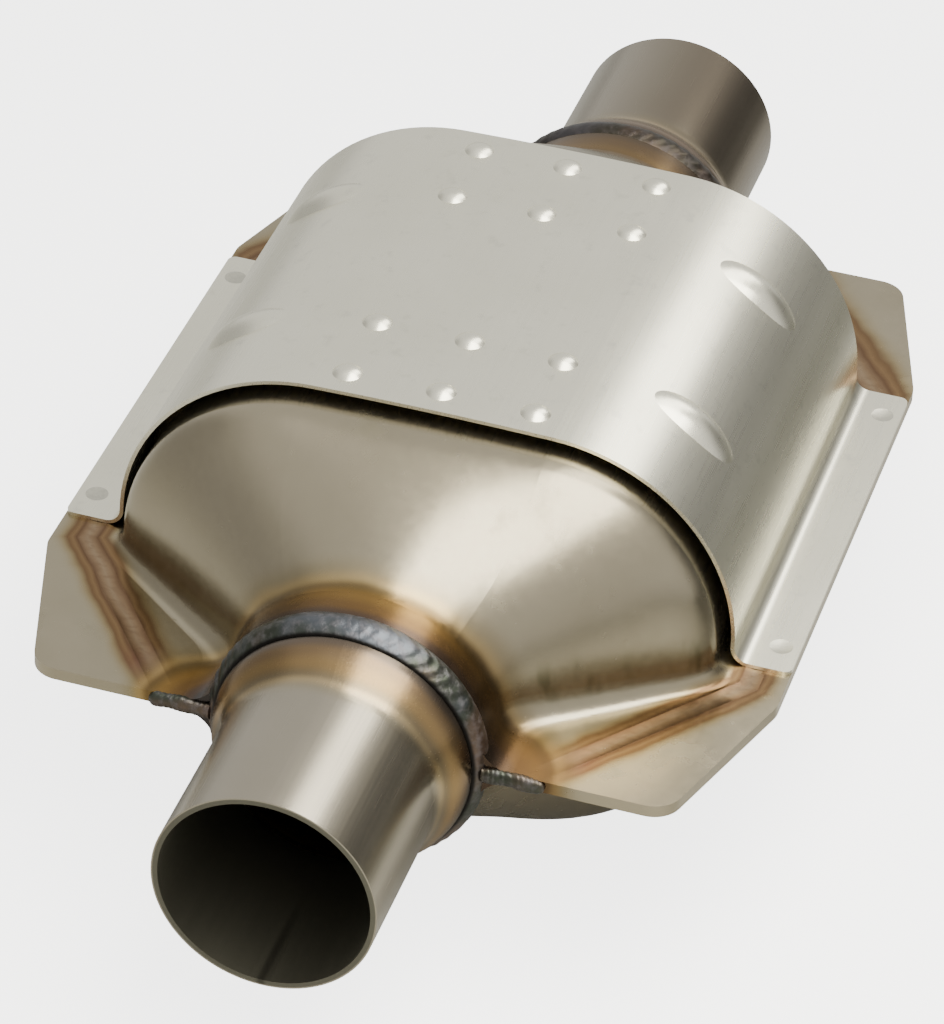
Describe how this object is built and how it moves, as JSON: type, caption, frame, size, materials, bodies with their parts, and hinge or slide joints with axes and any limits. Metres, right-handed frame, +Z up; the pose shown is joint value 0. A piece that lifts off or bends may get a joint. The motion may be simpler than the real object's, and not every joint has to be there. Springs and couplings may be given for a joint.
{
  "type": "catalytic converter",
  "caption": "Catalytic converter: flanged oval clamshell body with a heat shield over it, wrapped ceramic honeycomb bricks inside and a weld-on pipe stub at each end.",
  "frame": {"origin": "centre of the open end of the inlet pipe stub, on the common axis of both stubs", "axes": "+X with the gas flow along the pipe axis, +Z up square to the flanges, on the side of the heat shield; the parting plane of the half shells is z = 0"},
  "size_m": [0.33, 0.174, 0.1059],
  "materials": {
    "shell_steel": "satin stamped stainless sheet with heat tint beside the welds",
    "pipe_steel": "brushed stainless tube",
    "shield_steel": "satin aluminised sheet",
    "weld_metal": "oxidised weld bead",
    "seam_metal": "resistance weld metal",
    "brick_ceramic": "matt extruded ceramic",
    "mat_fibre": "matt fibre mat",
    "mesh_wire": "knitted wire"
  },
  "bodies": {
    "root": {"upper_shell": "shell_steel", "lower_shell": "shell_steel", "heat_shield": "shield_steel", "inlet_pipe": "pipe_steel", "outlet_pipe": "pipe_steel", "inlet_ring_weld": "weld_metal", "outlet_ring_weld": "weld_metal", "inlet_left_edge_weld": "weld_metal", "inlet_right_edge_weld": "weld_metal", "outlet_left_edge_weld": "weld_metal", "outlet_right_edge_weld": "weld_metal", "left_seam_weld": "seam_metal", "right_seam_weld": "seam_metal", "front_left_spot_weld": "seam_metal", "front_right_spot_weld": "seam_metal", "rear_left_spot_weld": "seam_metal", "rear_right_spot_weld": "seam_metal", "front_brick": "brick_ceramic", "front_mat": "mat_fibre", "front_brick_inlet_mesh_ring": "mesh_wire", "front_brick_outlet_mesh_ring": "mesh_wire", "rear_brick": "brick_ceramic", "rear_mat": "mat_fibre", "rear_brick_inlet_mesh_ring": "mesh_wire", "rear_brick_outlet_mesh_ring": "mesh_wire"}
  },
  "joints": []
}
